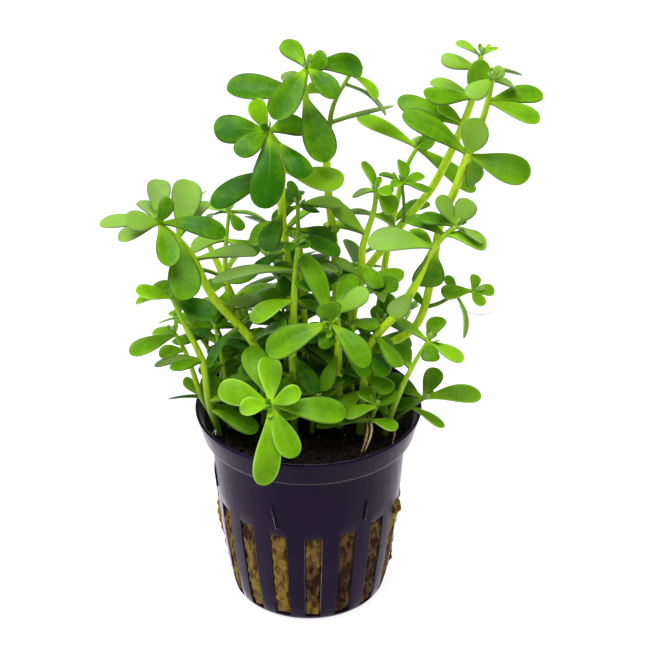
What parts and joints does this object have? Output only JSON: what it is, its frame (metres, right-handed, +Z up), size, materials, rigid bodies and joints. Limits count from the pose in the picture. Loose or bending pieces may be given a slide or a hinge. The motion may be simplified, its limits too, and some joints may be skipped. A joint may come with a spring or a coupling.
{
  "type": "potted aquarium plant",
  "caption": "Water hyssop cuttings with fleshy spoon-shaped leaves in opposite pairs, rooted in wool and soil in a small round net pot.",
  "frame": {"origin": "centre of the pot's flat base, on the surface that it stands on", "axes": "+Z up along the pot's axis, -Y toward the front of the plant, +X to the right seen from the front"},
  "size_m": [0.1024, 0.0753, 0.143],
  "materials": {
    "pot": "satin",
    "wool": "matte",
    "soil": "matte",
    "stems": "satin",
    "leaves": "satin"
  },
  "bodies": {
    "root": {"pot": "pot", "wool": "wool", "soil": "soil", "leaves_back_centre": "leaves", "leaves_back_left": "leaves", "leaves_back_right": "leaves", "leaves_centre": "leaves", "leaves_centre_back": "leaves", "leaves_centre_high": "leaves", "leaves_front": "leaves", "leaves_left_arching": "leaves", "leaves_left_inner": "leaves", "leaves_left_low": "leaves", "leaves_left_low_side": "leaves", "leaves_low_centre": "leaves", "leaves_low_right": "leaves", "leaves_right_back": "leaves", "leaves_right_dark": "leaves", "leaves_right_front": "leaves", "leaves_right_inner": "leaves", "leaves_right_low": "leaves", "leaves_right_rim": "leaves", "leaves_right_thin": "leaves", "leaves_rim_back": "leaves", "leaves_rim_left": "leaves", "leaves_tall_left": "leaves", "leaves_tall_left_side": "leaves", "leaves_tall_right": "leaves", "leaves_tall_right_back": "leaves", "leaves_tall_right_side": "leaves", "leaves_upper_left": "leaves", "stem_back_centre": "stems", "stem_back_left": "stems", "stem_back_right": "stems", "stem_centre": "stems", "stem_centre_back": "stems", "stem_centre_high": "stems", "stem_front": "stems", "stem_left_arching": "stems", "stem_left_inner": "stems", "stem_left_low": "stems", "stem_left_low_side": "stems", "stem_low_centre": "stems", "stem_low_right": "stems", "stem_right_back": "stems", "stem_right_dark": "stems", "stem_right_front": "stems", "stem_right_inner": "stems", "stem_right_low": "stems", "stem_right_rim": "stems", "stem_right_thin": "stems", "stem_rim_back": "stems", "stem_rim_left": "stems", "stem_tall_left": "stems", "stem_tall_left_side": "stems", "stem_tall_right": "stems", "stem_tall_right_back": "stems", "stem_tall_right_side": "stems", "stem_upper_left": "stems"}
  },
  "joints": []
}
